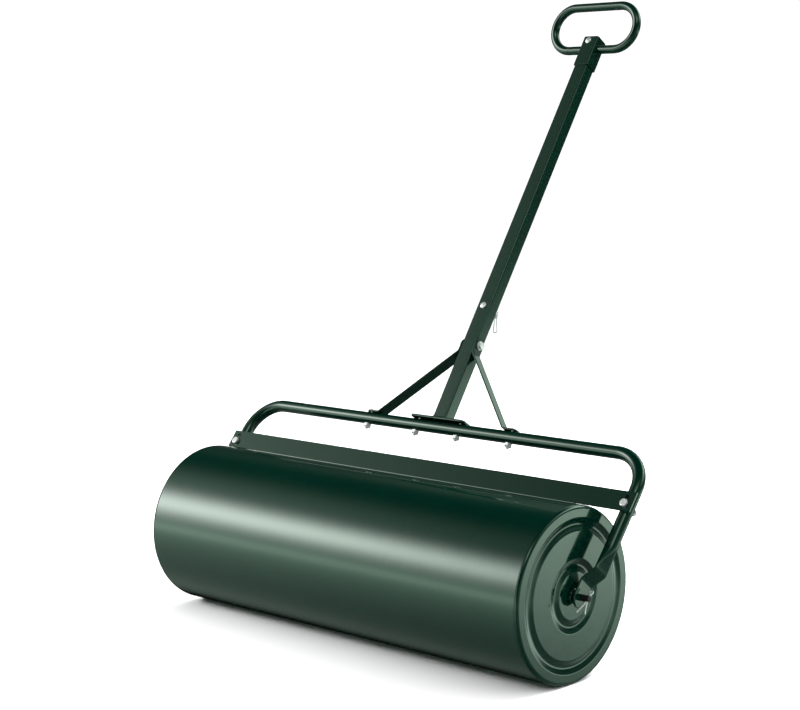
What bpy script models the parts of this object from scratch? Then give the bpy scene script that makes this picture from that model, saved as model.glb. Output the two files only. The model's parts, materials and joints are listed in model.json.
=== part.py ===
"""Lawn roller: a hollow steel drum in a bent-tube yoke, with a scraper bar and a braced handle.

Metres, +Z up.  The origin is on the ground under the middle of the drum.  X runs along the
drum's axle, and the handle leans back towards +Y.
"""
import math

import bmesh
import bpy
from mathutils import Matrix, Vector

# ---- driving dimensions -------------------------------------------------------------------
GAP = 0.0003                  # between pieces that touch

DRUM_RADIUS = 0.1525
DRUM_LENGTH = 0.909
DRUM_SIDES = 48
SHELL_WALL = 0.0013
PLATE_SHEET = 0.002
RIM_ROUND = 0.006             # radius of the rolled edge between shell and end plate
FLANGE_DEPTH = 0.012          # how far an end plate's flange reaches into the shell
GROOVE_DEPTH = 0.003
GROOVE_SPANS = ((0.27, 0.42), (0.72, 0.87))   # pressed rings, as parts of the drum radius

AXLE_RADIUS = 0.0058
AXLE_CLEARANCE = 0.0004
AXLE_OVERHANG = 0.0325        # axle end beyond the end plate
HUB_RADIUS = 0.010
HUB_STANDOUT = 0.006
WASHER_RADIUS = 0.013
WASHER_THICKNESS = 0.0025
SPLIT_PIN_SETBACK = 0.0035    # split pin's hole to the axle's end
SPLIT_PIN_HOLE = 0.0021
SPLIT_PIN_WIRE = 0.0008
SPLIT_PIN_TILT = math.radians(45)

FILLER_RING = 0.57            # filler's distance from the axle, as a part of the drum radius
BOSS_RADIUS = 0.0195
BOSS_BORE = 0.0150
BOSS_STANDOUT = 0.002
BOSS_DEPTH = 0.012
GASKET_THICKNESS = 0.002
PLUG_CAP_RADIUS = 0.0185
PLUG_CAP_HEIGHT = 0.007
PLUG_STEM_RADIUS = 0.0143
PLUG_STEM_LENGTH = 0.012

YOKE_ANGLE = math.radians(51.4)     # yoke's plane above the ground
YOKE_WIDTH = 0.969                  # between the arms' tube centres
YOKE_REACH = 0.2774                 # axle to the cross tube's centre
YOKE_BEND = 0.067
TUBE_RADIUS = 0.0118
TAB_HALF_WIDTH = 0.0185
TAB_HALF_THICKNESS = 0.002
TAB_STANDOFF = 0.0125               # tab's middle beyond the end plate
TAB_TOP = 0.027
JOGGLE_TOP = 0.051
CRUSH_TOP = 0.100

BAR_LENGTH = 1.001
BAR_BOTTOM = 0.1625
BAR_TOP = 0.2000
BAR_THICKNESS = 0.003
LIP_LEFT = -0.407                   # ends of the lip along the bar
LIP_RIGHT = 0.383
LIP_BEND = 0.0045                   # outside radius of the lip's bend
BAR_BOLT_X = 0.4846
BAR_BOLT_Z = 0.1760
SLOT_BELOW = 0.0080
SLOT_ABOVE = 0.0170

POST_ANGLE = math.radians(57.2)     # handle above the ground
POST_WIDTH = 0.0315
POST_DEPTH = 0.0270
POST_WALL = 0.002
POST_CORNER = 0.0025
POST_SETBACK = 0.0034               # post's middle behind the cross tube's middle
SEAM_HEIGHT = 0.1912                # where the upper pole meets the lower post
POLE_TOP = 0.8555
INSERT_BOTTOM = 0.105
INSERT_TOP = 0.300

BASE_LENGTH = 0.134
BASE_WIDTH = 0.033
BASE_THICKNESS = 0.004
BASE_BOLT_X = 0.0514

BRACE_WIDTH = 0.0240
BRACE_SETBACK = 0.0020              # brace's middle behind the cross tube's middle
BRACE_THICKNESS = 0.003
BRACE_TOP = 0.1895
BRACE_BEND_HEIGHT = 0.1605
BRACE_BOLT_HEIGHT = 0.179
BRACE_FOOT_START = 0.1560
BRACE_FOOT_END = 0.1880
BRACE_FOOT_BOLT_X = 0.1770

BOLT_RADIUS = 0.0037
BOLT_HOLE = 0.0042
HEX_RADIUS = 0.0075
HEX_HEIGHT = 0.005
NUT_HEIGHT = 0.0065
THREAD_TAIL = 0.0040                # thread showing past a nut

SOCKET_WALL = 0.002
SOCKET_BOTTOM = 0.8205
SOCKET_TOP = 0.8892
SOCKET_BOLT_X = -0.003
SOCKET_BOLT_Z = 0.8788
ROUND_HEAD_RADIUS = 0.0070
ROUND_HEAD_HEIGHT = 0.0030
BRACE_WASHER_RADIUS = 0.0088
BRACE_WASHER_THICKNESS = 0.0015

LOOP_HEIGHT = 0.8655                # loop's lower bar up the post
LOOP_ANGLE = math.radians(74.3)     # loop's plane above the ground
LOOP_HALF_LENGTH = 0.1018
LOOP_HALF_WIDTH = 0.0458
LOOP_TUBE = 0.0087
LOOP_JOINT = 0.0006                 # butt joint inside the socket

PIN_HEIGHT = 0.2600
PIN_RADIUS = 0.0039
PIN_HOLE = 0.0043
PIN_HEAD_RADIUS = 0.0066
PIN_HEAD_HEIGHT = 0.0040
PIN_TAIL = 0.0210                   # pin end behind the post
CLIP_SETBACK = 0.0140               # clip behind the post's rear face
CLIP_TILT = math.radians(19)        # clip's swing from straight down
CLIP_WIRE = 0.0009
CLIP_HOLE = 0.0013
CLIP_ABOVE = 0.0085
CLIP_BELOW = 0.0405
CLIP_LOOP = 0.0042

# ---- worked-out sizes ---------------------------------------------------------------------
HALF_LENGTH = DRUM_LENGTH / 2
AXLE_CENTRE = Vector((0, 0, DRUM_RADIUS))
FLAT_TO_CORNER = 1 / math.cos(math.pi / DRUM_SIDES)
FILLER_OFFSET = FILLER_RING * DRUM_RADIUS
BAR_FACE = TUBE_RADIUS + GAP
BASE_BOTTOM = TUBE_RADIUS + GAP
BASE_TOP = BASE_BOTTOM + BASE_THICKNESS
FOOT_TOP = TUBE_RADIUS + GAP + BRACE_THICKNESS


# ---- scene helpers ------------------------------------------------------------------------
def clear_scene():
    for old in list(bpy.data.objects):
        bpy.data.objects.remove(old, do_unlink=True)


def material(name, colour, roughness, metallic):
    mat = bpy.data.materials.new(name)
    mat.use_nodes = True
    shader = mat.node_tree.nodes["Principled BSDF"]
    shader.inputs["Base Color"].default_value = (*colour, 1.0)
    shader.inputs["Roughness"].default_value = roughness
    shader.inputs["Metallic"].default_value = metallic
    return mat


def frame_empty(name, location, lean, parent=None):
    """An empty whose local Z leans back by 90 degrees minus lean, turned about X."""
    empty = bpy.data.objects.new(name, None)
    bpy.context.collection.objects.link(empty)
    empty.location = location
    empty.rotation_euler = (lean - math.pi / 2, 0, 0)
    empty.parent = parent
    return empty


def add_object(name, bm, mat, parent=None, location=(0, 0, 0), rotation=(0, 0, 0)):
    bmesh.ops.remove_doubles(bm, verts=bm.verts, dist=1e-6)
    bmesh.ops.recalc_face_normals(bm, faces=bm.faces)
    mesh = bpy.data.meshes.new(name)
    bm.to_mesh(mesh)
    bm.free()
    mesh.materials.append(mat)
    mesh.shade_smooth()
    mesh.set_sharp_from_angle(angle=math.radians(35))
    obj = bpy.data.objects.new(name, mesh)
    bpy.context.collection.objects.link(obj)
    obj.parent = parent
    obj.location = location
    obj.rotation_euler = rotation
    return obj


def cut(target, cutter_bm, location=(0, 0, 0), rotation=(0, 0, 0)):
    """Cut a closed shape, placed in the target's own frame, out of the target."""
    count = sum(1 for mod in target.modifiers if mod.type == "BOOLEAN")
    tool = add_object(f"cut_{target.name}_{count}", cutter_bm, target.data.materials[0],
                      target, location, rotation)
    tool.hide_render = True
    tool.display_type = "WIRE"
    mod = target.modifiers.new("cut", "BOOLEAN")
    mod.operation = "DIFFERENCE"
    mod.solver = "EXACT"
    mod.object = tool


# ---- shape helpers ------------------------------------------------------------------------
def loft(rings, closed=False):
    """Skin rings of points with equal counts, and cap the two ends unless the path is closed."""
    bm = bmesh.new()
    rows = [[bm.verts.new(point) for point in ring] for ring in rings]
    size = len(rows[0])
    pairs = list(zip(rows, rows[1:]))
    if closed:
        pairs.append((rows[-1], rows[0]))
    for low, high in pairs:
        for i in range(size):
            j = (i + 1) % size
            bm.faces.new((low[i], low[j], high[j], high[i]))
    if not closed:
        bm.faces.new(rows[0])
        bm.faces.new(rows[-1])
    return bm


def turned(outline, sides, start=0.0):
    """Turn a closed outline of (x, radius) points about the X axis."""
    bm = bmesh.new()
    first = [bm.verts.new((x, r * math.cos(start), r * math.sin(start))) for x, r in outline]
    edges = [bm.edges.new((first[i], first[(i + 1) % len(first)])) for i in range(len(first))]
    bmesh.ops.spin(bm, geom=first + edges, cent=(0, 0, 0), axis=(1, 0, 0),
                   angle=2 * math.pi, steps=sides, use_merge=False)
    bmesh.ops.remove_doubles(bm, verts=bm.verts, dist=1e-6)
    bmesh.ops.dissolve_degenerate(bm, edges=bm.edges, dist=1e-7)
    return bm


def rod(radius, low, high, sides=16):
    """A solid round rod along local Z."""
    rings = [circle(radius, sides, z) for z in (low, high)]
    return loft(rings)


def circle(radius, sides, z=0.0, turn=0.0):
    angles = [turn + 2 * math.pi * i / sides for i in range(sides)]
    return [(radius * math.cos(a), radius * math.sin(a), z) for a in angles]


def rounded_rectangle(half_x, half_y, corner, z=0.0, steps=3):
    points = []
    for quarter, (sx, sy) in enumerate(((1, 1), (-1, 1), (-1, -1), (1, -1))):
        for i in range(steps + 1):
            a = math.pi / 2 * (quarter + i / steps)
            points.append((sx * (half_x - corner) + corner * math.cos(a),
                           sy * (half_y - corner) + corner * math.sin(a), z))
    return points


def box_tube(half_x, half_y, wall, corner, low, high):
    """A rectangular tube along local Z, open at both ends."""
    inner = max(corner - wall, 0.0006)
    outside = [rounded_rectangle(half_x, half_y, corner, z) for z in (low, high)]
    inside = [rounded_rectangle(half_x - wall, half_y - wall, inner, z) for z in (high, low)]
    return loft(outside + inside, closed=True)


def slab(outline, low, high):
    """Extrude a flat outline of (x, y) points along local Z."""
    return loft([[(x, y, z) for x, y in outline] for z in (low, high)])


def block(low, high):
    """A box between two corners."""
    corners = [(low[0], low[1]), (high[0], low[1]), (high[0], high[1]), (low[0], high[1])]
    return slab(corners, low[2], high[2])


def sweep_wire(points, radius, sides=8):
    """A round wire along a path of points, with flat ends."""
    path = [Vector(p) for p in points]
    rings = []
    side = None
    for i, here in enumerate(path):
        before = path[max(i - 1, 0)]
        after = path[min(i + 1, len(path) - 1)]
        tangent = (after - before).normalized()
        if side is None:
            side = tangent.orthogonal().normalized()
        side = (side - tangent * side.dot(tangent)).normalized()
        up = tangent.cross(side)
        angles = [2 * math.pi * k / sides for k in range(sides)]
        rings.append([here + radius * (side * math.cos(a) + up * math.sin(a)) for a in angles])
    return loft(rings)


def arc(centre_x, centre_y, radius, start, end, steps):
    """Points on a circle in a plane, angles in degrees."""
    angles = [math.radians(start + (end - start) * i / steps) for i in range(steps + 1)]
    return [(centre_x + radius * math.cos(a), centre_y + radius * math.sin(a)) for a in angles]


def smooth_step(t):
    return t * t * (3 - 2 * t)


# ---- drum ---------------------------------------------------------------------------------
def make_shell():
    end = HALF_LENGTH - RIM_ROUND - GAP
    outer = DRUM_RADIUS * FLAT_TO_CORNER
    inner = outer - SHELL_WALL
    outline = [(-end, outer), (end, outer), (end, inner), (-end, inner)]
    return turned(outline, DRUM_SIDES, math.pi / DRUM_SIDES)


def plate_depth(radius):
    """How far the end plate's pressed rings sink its face at a radius."""
    for low, high in GROOVE_SPANS:
        part = (radius / DRUM_RADIUS - low) / (high - low)
        if 0 < part < 1:
            return GROOVE_DEPTH * math.sin(math.pi * part) ** 1.3
    return 0.0


def plate_outline():
    """Right end plate: (x, radius) round its sheet, from the bore out, and back on the inside."""
    rim = DRUM_RADIUS * FLAT_TO_CORNER
    radii = [HUB_RADIUS + GAP]
    for low, high in GROOVE_SPANS:
        radii += [DRUM_RADIUS * (low + (high - low) * i / 6) for i in range(7)]
    face = [(HALF_LENGTH - plate_depth(r), r) for r in radii]
    edge = arc(HALF_LENGTH - RIM_ROUND, rim - RIM_ROUND, RIM_ROUND, 0, 90, 4)
    lap = rim - SHELL_WALL - GAP
    shoulder = HALF_LENGTH - RIM_ROUND
    flange = [(shoulder, lap), (shoulder - FLANGE_DEPTH, lap),
              (shoulder - FLANGE_DEPTH, lap - PLATE_SHEET), (shoulder, lap - PLATE_SHEET)]
    back = [(x - PLATE_SHEET, r) for x, r in reversed(face)]
    return face + edge + flange + back


def make_end_plate(name, mat, side):
    outline = [(side * x, r) for x, r in plate_outline()]
    bm = turned(outline, DRUM_SIDES, math.pi / DRUM_SIDES)
    plate = add_object(name, bm, mat, location=AXLE_CENTRE)
    if side < 0:
        cut(plate, rod(BOSS_RADIUS + GAP, -0.02, 0.02, 24),
            (-HALF_LENGTH, 0, FILLER_OFFSET), (0, math.pi / 2, 0))
    return plate


def ring_outline(inner, outer, low, high):
    return [(low, inner), (low, outer), (high, outer), (high, inner)]


def split_pin_path():
    """One wire: up one splayed leg, round the eye and down the other leg.  Local Z is its axis."""
    spread = SPLIT_PIN_WIRE + 0.0001
    reach = AXLE_RADIUS + 0.003
    leg = [(0.0085, -AXLE_RADIUS - 0.0225), (0.0050, -AXLE_RADIUS - 0.0140),
           (0.0022, -AXLE_RADIUS - 0.0060), (spread, -AXLE_RADIUS - 0.0010), (spread, reach)]
    eye = arc(0, reach + 0.0034, 0.0024, -50, 230, 10)
    other = [(-x, z) for x, z in reversed(leg)]
    return [(x, 0, z) for x, z in leg + eye + other]


def make_axle_group(steel, zinc):
    end = HALF_LENGTH + AXLE_OVERHANG
    bevel = 0.001
    bar = [(-end, 0), (-end, AXLE_RADIUS - bevel), (-end + bevel, AXLE_RADIUS),
           (end - bevel, AXLE_RADIUS), (end, AXLE_RADIUS - bevel), (end, 0)]
    axle = add_object("axle", turned(bar, 16), steel, location=AXLE_CENTRE)
    pin_x = end - SPLIT_PIN_SETBACK
    washer_x = HALF_LENGTH + HUB_STANDOUT + GAP
    for side, tag in ((1, "right"), (-1, "left")):
        tilt = (-SPLIT_PIN_TILT, 0, 0)
        cut(axle, rod(SPLIT_PIN_HOLE, -0.01, 0.01, 12), (side * pin_x, 0, 0), tilt)
        centre = AXLE_CENTRE + Vector((side * pin_x, 0, 0))
        add_object(f"split_pin_{tag}", sweep_wire(split_pin_path(), SPLIT_PIN_WIRE, 6), zinc,
                   location=centre, rotation=tilt)
        low, high = sorted((side * washer_x, side * (washer_x + WASHER_THICKNESS)))
        outline = ring_outline(AXLE_RADIUS + GAP, WASHER_RADIUS, low, high)
        add_object(f"thrust_washer_{tag}", turned(outline, 20), steel, location=AXLE_CENTRE)
    reach = HALF_LENGTH + HUB_STANDOUT
    tube = ring_outline(AXLE_RADIUS + GAP, HUB_RADIUS, -reach, reach)
    add_object("axle_tube", turned(tube, 20), steel, location=AXLE_CENTRE)


def make_filler(paint, rubber, plastic):
    """Boss in the left end plate, with a gasket and a screw plug that come out towards -X."""
    place = AXLE_CENTRE + Vector((-HALF_LENGTH, 0, FILLER_OFFSET))
    boss = ring_outline(BOSS_BORE, BOSS_RADIUS, -BOSS_STANDOUT, BOSS_DEPTH)
    add_object("filler_boss", turned(boss, 24), paint, location=place)
    seat = -BOSS_STANDOUT - GAP
    gasket = ring_outline(PLUG_STEM_RADIUS + GAP, PLUG_CAP_RADIUS, seat - GASKET_THICKNESS, seat)
    add_object("filler_gasket", turned(gasket, 24), rubber, location=place)
    cap = seat - GASKET_THICKNESS - GAP
    rings = []
    for x, radius, lobes in ((cap - PLUG_CAP_HEIGHT, 0.0150, 1), (cap - PLUG_CAP_HEIGHT, 0.0168, 1),
                             (cap - 0.001, PLUG_CAP_RADIUS, 1), (cap, PLUG_CAP_RADIUS, 0),
                             (cap, PLUG_STEM_RADIUS, 0), (cap + PLUG_STEM_LENGTH, PLUG_STEM_RADIUS, 0)):
        ring = []
        for i in range(24):
            a = 2 * math.pi * i / 24
            r = radius - 0.0012 * lobes * (i % 2)
            ring.append((x, r * math.cos(a), r * math.sin(a)))
        rings.append(ring)
    add_object("filler_plug", loft(rings), plastic, location=place)


# ---- yoke and scraper ---------------------------------------------------------------------
def yoke_side():
    """Right half of the yoke's path: (x, z, half width, half thickness), tab end first."""
    tab_x = HALF_LENGTH + TAB_STANDOFF
    arm_x = YOKE_WIDTH / 2
    rows = []
    for i in range(5):
        z = -TAB_HALF_WIDTH * math.cos(math.pi / 2 * (i + 0.35) / 4.35)
        half = math.sqrt(TAB_HALF_WIDTH ** 2 - z * z)
        rows.append((tab_x, z, half, TAB_HALF_THICKNESS))
    rows.append((tab_x, TAB_TOP, TAB_HALF_WIDTH, TAB_HALF_THICKNESS))
    rows.append((arm_x, JOGGLE_TOP, TAB_HALF_WIDTH, TAB_HALF_THICKNESS))
    for i in range(1, 6):
        t = i / 5
        z = JOGGLE_TOP + (CRUSH_TOP - JOGGLE_TOP) * t
        ease = smooth_step(t)
        rows.append((arm_x, z, TAB_HALF_WIDTH + (TUBE_RADIUS - TAB_HALF_WIDTH) * ease,
                     TAB_HALF_THICKNESS + (TUBE_RADIUS - TAB_HALF_THICKNESS) * ease))
    corner = (arm_x - YOKE_BEND, YOKE_REACH - YOKE_BEND)
    rows += [(x, z, TUBE_RADIUS, TUBE_RADIUS) for x, z in arc(*corner, YOKE_BEND, 0, 90, 8)]
    return rows


def make_yoke(mat, parent):
    right = yoke_side()
    left = [(-x, z, w, t) for x, z, w, t in reversed(right)]
    rows = right + left
    path = [Vector((x, 0, z)) for x, z, _, _ in rows]
    rings = []
    sides = 16
    for i, (x, z, half_width, half_thick) in enumerate(rows):
        to_here = path[i] - path[max(i - 1, 0)]
        onward = path[min(i + 1, len(path) - 1)] - path[i]
        first = to_here.normalized() if to_here.length else onward.normalized()
        second = onward.normalized() if onward.length else first
        tangent = (first + second).normalized()
        across = Vector((tangent.z, 0, -tangent.x)) / max(tangent.dot(first), 0.7)
        roundness = (half_thick - TAB_HALF_THICKNESS) / (TUBE_RADIUS - TAB_HALF_THICKNESS)
        power = 0.45 + 0.55 * roundness
        ring = []
        for k in range(sides):
            a = 2 * math.pi * k / sides
            c, s = math.cos(a), math.sin(a)
            wide = half_width * math.copysign(abs(c) ** power, c)
            thick = half_thick * math.copysign(abs(s) ** power, s)
            ring.append(path[i] + across * thick + Vector((0, wide, 0)))
        rings.append(ring)
    yoke = add_object("yoke", loft(rings), mat, parent)
    for side in (1, -1):
        tab = (side * (HALF_LENGTH + TAB_STANDOFF), 0, 0)
        cut(yoke, rod(AXLE_RADIUS + AXLE_CLEARANCE, -0.01, 0.01, 20), tab, (0, math.pi / 2, 0))
        cut(yoke, rod(BOLT_HOLE, -0.02, 0.02, 12), (side * BAR_BOLT_X, 0, BAR_BOLT_Z),
            (math.pi / 2, 0, 0))
        for x in (BASE_BOLT_X, BRACE_FOOT_BOLT_X):
            cut(yoke, rod(BOLT_HOLE, -0.02, 0.02, 12), (side * x, 0, YOKE_REACH),
                (POST_ANGLE - YOKE_ANGLE, 0, 0))


def make_scraper(mat, parent):
    """Flat bar in front of the arms, with a lip bent in towards the drum."""
    front = -BAR_FACE - BAR_THICKNESS
    bend = (front + LIP_BEND, BAR_BOTTOM)
    outside = arc(*bend, LIP_BEND, 180, 270, 4)
    inside = arc(*bend, LIP_BEND - BAR_THICKNESS, 270, 180, 4)
    profile = [(front, BAR_TOP)] + outside + inside + [(-BAR_FACE, BAR_TOP)]
    rings = [[(x, y, z) for y, z in profile] for x in (-BAR_LENGTH / 2, BAR_LENGTH / 2)]
    bar = add_object("scraper_bar", loft(rings), mat, parent)
    past = BAR_LENGTH / 2 + 0.01
    for side, low, high in ((1, LIP_RIGHT, past), (-1, -past, LIP_LEFT)):
        cut(bar, block((low, front - 0.01, BAR_BOTTOM - 0.02), (high, 0.01, BAR_BOTTOM)))
        slot = [(x, y) for x, y in arc(0, SLOT_ABOVE - BOLT_HOLE, BOLT_HOLE, 0, 180, 6)]
        slot += [(x, y) for x, y in arc(0, -SLOT_BELOW + BOLT_HOLE, BOLT_HOLE, 180, 360, 6)]
        cut(bar, slab(slot, -0.02, 0.02), (side * BAR_BOLT_X, -BAR_FACE, BAR_BOLT_Z),
            (math.pi / 2, 0, 0))


# ---- fasteners ----------------------------------------------------------------------------
def bolt(length, head):
    """Hexagon or low round head above local z = 0, and the shank below it."""
    if head == "hex":
        rows = [(HEX_RADIUS * 0.88, HEX_HEIGHT), (HEX_RADIUS, HEX_HEIGHT - 0.0008), (HEX_RADIUS, 0)]
    else:
        rows = [(ROUND_HEAD_RADIUS * part, ROUND_HEAD_HEIGHT * rise)
                for part, rise in ((0.35, 1.0), (0.75, 0.75), (1.0, 0.3), (1.0, 0.0))]
    rings = []
    for radius, z in rows:
        flat = math.cos(math.pi / 6) if head == "hex" else 1.0
        ring = circle(radius, 12, z)
        rings.append([(x * flat, y * flat, z) if i % 2 else (x, y, z)
                      for i, (x, y, z) in enumerate(ring)])
    rings += [circle(BOLT_RADIUS, 12, 0), circle(BOLT_RADIUS, 12, -length)]
    return loft(rings)


def nut():
    """Hexagon nut above local z = 0, with a clear bore."""
    bore = BOLT_RADIUS + GAP
    rings = []
    for radius, z, six in ((HEX_RADIUS, 0, True), (HEX_RADIUS, NUT_HEIGHT, True),
                           (bore, NUT_HEIGHT, False), (bore, 0, False)):
        ring = []
        for i in range(12):
            a = math.pi / 6 * i
            flat = math.cos(math.pi / 6) if six and i % 2 else 1.0
            ring.append((radius * flat * math.cos(a), radius * flat * math.sin(a), z))
        rings.append(ring)
    return loft(rings, closed=True)


def fasten(tag, mat, parent, seat, grip, rotation, head):
    """A bolt whose head sits at seat, and its nut a grip further on, both turned by rotation."""
    turn = Matrix.Identity(3)
    for axis, angle in zip("XYZ", rotation):
        turn = Matrix.Rotation(angle, 3, axis) @ turn
    down = turn @ Vector((0, 0, -1))
    length = grip + NUT_HEIGHT + THREAD_TAIL
    seat = Vector(seat) - down * GAP
    add_object(f"{tag}_bolt", bolt(length, head), mat, parent, seat, rotation)
    far = seat + down * (grip + 2 * GAP + NUT_HEIGHT)
    add_object(f"{tag}_nut", nut(), mat, parent, far, rotation)


# ---- handle -------------------------------------------------------------------------------
def brace_path():
    """Brace's middle line (x, z, half width): rounded tab, leg at a slant, rounded foot."""
    half = BRACE_WIDTH / 2
    tab_x = POST_WIDTH / 2 + GAP + BRACE_THICKNESS / 2
    foot_z = TUBE_RADIUS + GAP + BRACE_THICKNESS / 2
    ease = 0.004
    slant = Vector((BRACE_FOOT_START - tab_x, 0, foot_z - BRACE_BEND_HEIGHT)).normalized()
    rows = [(tab_x, BRACE_TOP - half + reach, math.sqrt(half * half - reach * reach))
            for reach in (half * 0.96, half * 0.80, half * 0.50, 0.0)]
    rows += [(tab_x, BRACE_BEND_HEIGHT + ease, half),
             (tab_x + slant.x * ease, BRACE_BEND_HEIGHT + slant.z * ease, half),
             (BRACE_FOOT_START - slant.x * ease, foot_z - slant.z * ease, half),
             (BRACE_FOOT_START + ease, foot_z, half)]
    rows += [(BRACE_FOOT_END - half + reach, foot_z, math.sqrt(half * half - reach * reach))
             for reach in (0.0, half * 0.50, half * 0.80, half * 0.96)]
    return rows


def make_brace(name, mat, parent, side):
    rows = brace_path()
    path = [Vector((side * x, 0, z)) for x, z, _ in rows]
    rings = []
    for i, (_, _, half) in enumerate(rows):
        first = (path[i] - path[i - 1]).normalized() if i else (path[1] - path[0]).normalized()
        second = (path[i + 1] - path[i]).normalized() if i + 1 < len(path) else first
        tangent = (first + second).normalized()
        across = Vector((tangent.z, 0, -tangent.x)) * (BRACE_THICKNESS / 2 / tangent.dot(first))
        wide = Vector((0, half, 0))
        rings.append([path[i] + across + wide, path[i] - across + wide,
                      path[i] - across - wide, path[i] + across - wide])
    brace = add_object(name, loft(rings), mat, parent, (0, BRACE_SETBACK, 0))
    cut(brace, rod(BOLT_HOLE, -0.03, 0.03, 12), (side * POST_WIDTH / 2, 0, BRACE_BOLT_HEIGHT),
        (0, math.pi / 2, 0))
    cut(brace, rod(BOLT_HOLE, -0.02, 0.02, 12),
        (side * BRACE_FOOT_BOLT_X, -BRACE_SETBACK, TUBE_RADIUS))


def make_post(paint, frame):
    """Base plate, lower post, inner coupling and upper pole, all along the handle frame's Z."""
    half_x, half_y = POST_WIDTH / 2, POST_DEPTH / 2
    base = [(x, y) for x, y, _ in rounded_rectangle(BASE_LENGTH / 2, BASE_WIDTH / 2, 0.008)]
    plate = add_object("base_plate", slab(base, BASE_BOTTOM, BASE_TOP), paint, frame)
    for side in (1, -1):
        cut(plate, rod(BOLT_HOLE, -0.03, 0.03, 12), (side * BASE_BOLT_X, 0, BASE_TOP))
    middle = (0, POST_SETBACK, 0)
    brace_hole = (0, BRACE_SETBACK - POST_SETBACK, BRACE_BOLT_HEIGHT)
    sideways = (0, math.pi / 2, 0)
    endways = (math.pi / 2, 0, 0)
    lower = box_tube(half_x, half_y, POST_WALL, POST_CORNER, BASE_TOP + GAP, SEAM_HEIGHT - GAP)
    lower = add_object("lower_post", lower, paint, frame, middle)
    cut(lower, rod(BOLT_HOLE, -0.03, 0.03, 12), brace_hole, sideways)
    inset = POST_WALL + GAP
    insert = box_tube(half_x - inset, half_y - inset, POST_WALL, 0.0015, INSERT_BOTTOM, INSERT_TOP)
    insert = add_object("post_coupling", insert, paint, frame, middle)
    cut(insert, rod(BOLT_HOLE, -0.03, 0.03, 12), brace_hole, sideways)
    cut(insert, rod(PIN_HOLE, -0.03, 0.03, 16), (0, 0, PIN_HEIGHT), endways)
    upper = box_tube(half_x, half_y, POST_WALL, POST_CORNER, SEAM_HEIGHT, POLE_TOP)
    upper = add_object("upper_pole", upper, paint, frame, middle)
    cut(upper, rod(PIN_HOLE, -0.03, 0.03, 16), (0, 0, PIN_HEIGHT), endways)


def make_socket(paint, zinc, frame):
    """Rectangular socket on the pole's top, which holds the loop's lower bar."""
    half_x = POST_WIDTH / 2 + GAP + SOCKET_WALL
    half_y = POST_DEPTH / 2 + GAP + SOCKET_WALL
    tube = box_tube(half_x, half_y, SOCKET_WALL, 0.0035, SOCKET_BOTTOM, SOCKET_TOP)
    socket = add_object("handle_socket", tube, paint, frame, (0, POST_SETBACK, 0))
    cut(socket, rod(LOOP_TUBE + 0.0004, -0.03, 0.03, 20), (0, 0, LOOP_HEIGHT), (0, math.pi / 2, 0))
    cut(socket, rod(BOLT_HOLE, -0.03, 0.03, 12), (SOCKET_BOLT_X, 0, SOCKET_BOLT_Z),
        (math.pi / 2, 0, 0))
    seat = (SOCKET_BOLT_X, POST_SETBACK - half_y, SOCKET_BOLT_Z)
    fasten("socket", zinc, frame, seat, 2 * half_y, (math.pi / 2, 0, 0), "round")


def loop_points():
    """Loop's middle line in its own plane, from one butt end round to the other."""
    straight = LOOP_HALF_LENGTH - LOOP_HALF_WIDTH
    right = arc(straight, LOOP_HALF_WIDTH, LOOP_HALF_WIDTH, -90, 90, 12)
    left = arc(-straight, LOOP_HALF_WIDTH, LOOP_HALF_WIDTH, 90, 270, 12)
    ends = LOOP_JOINT / 2
    return [(ends, 0)] + right + left + [(-ends, 0)]


def make_hitch_pin(zinc, frame):
    """Headed pin through the post from the front, with a cross hole for its clip."""
    outline = [(-PIN_HEAD_HEIGHT, 0), (-PIN_HEAD_HEIGHT, PIN_HEAD_RADIUS * 0.6),
               (-PIN_HEAD_HEIGHT * 0.6, PIN_HEAD_RADIUS), (0, PIN_HEAD_RADIUS), (0, PIN_RADIUS),
               (POST_DEPTH + PIN_TAIL - 0.001, PIN_RADIUS),
               (POST_DEPTH + PIN_TAIL, PIN_RADIUS - 0.001), (POST_DEPTH + PIN_TAIL, 0)]
    front = POST_SETBACK - POST_DEPTH / 2 - GAP
    pin = add_object("hitch_pin", turned(outline, 16), zinc, frame, (0, front, PIN_HEIGHT),
                     (0, 0, math.pi / 2))
    cut(pin, rod(CLIP_HOLE, -0.01, 0.01, 12), (POST_DEPTH + GAP + CLIP_SETBACK, 0, 0),
        (-CLIP_TILT, 0, 0))


def clip_path():
    """Hairpin wire: straight leg through the pin, bottom loop, and an outer leg past the pin."""
    bow = PIN_RADIUS + CLIP_WIRE + 0.0005
    low = -CLIP_BELOW + CLIP_LOOP
    path = [(0, CLIP_ABOVE), (0, 0), (0, low)]
    path += arc(CLIP_LOOP, low, CLIP_LOOP, 180, 360, 8)[1:]
    waist = 2 * CLIP_LOOP * 0.62
    path += [(2 * CLIP_LOOP, low + 0.006), (waist, -0.0105), (waist + 0.0002, -0.0085),
             (bow, -0.0035), (bow + 0.0003, 0.0), (bow + 0.0001, 0.0030),
             (bow + 0.0012, 0.0062)]
    return [(x, 0, z) for x, z in path]


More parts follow.
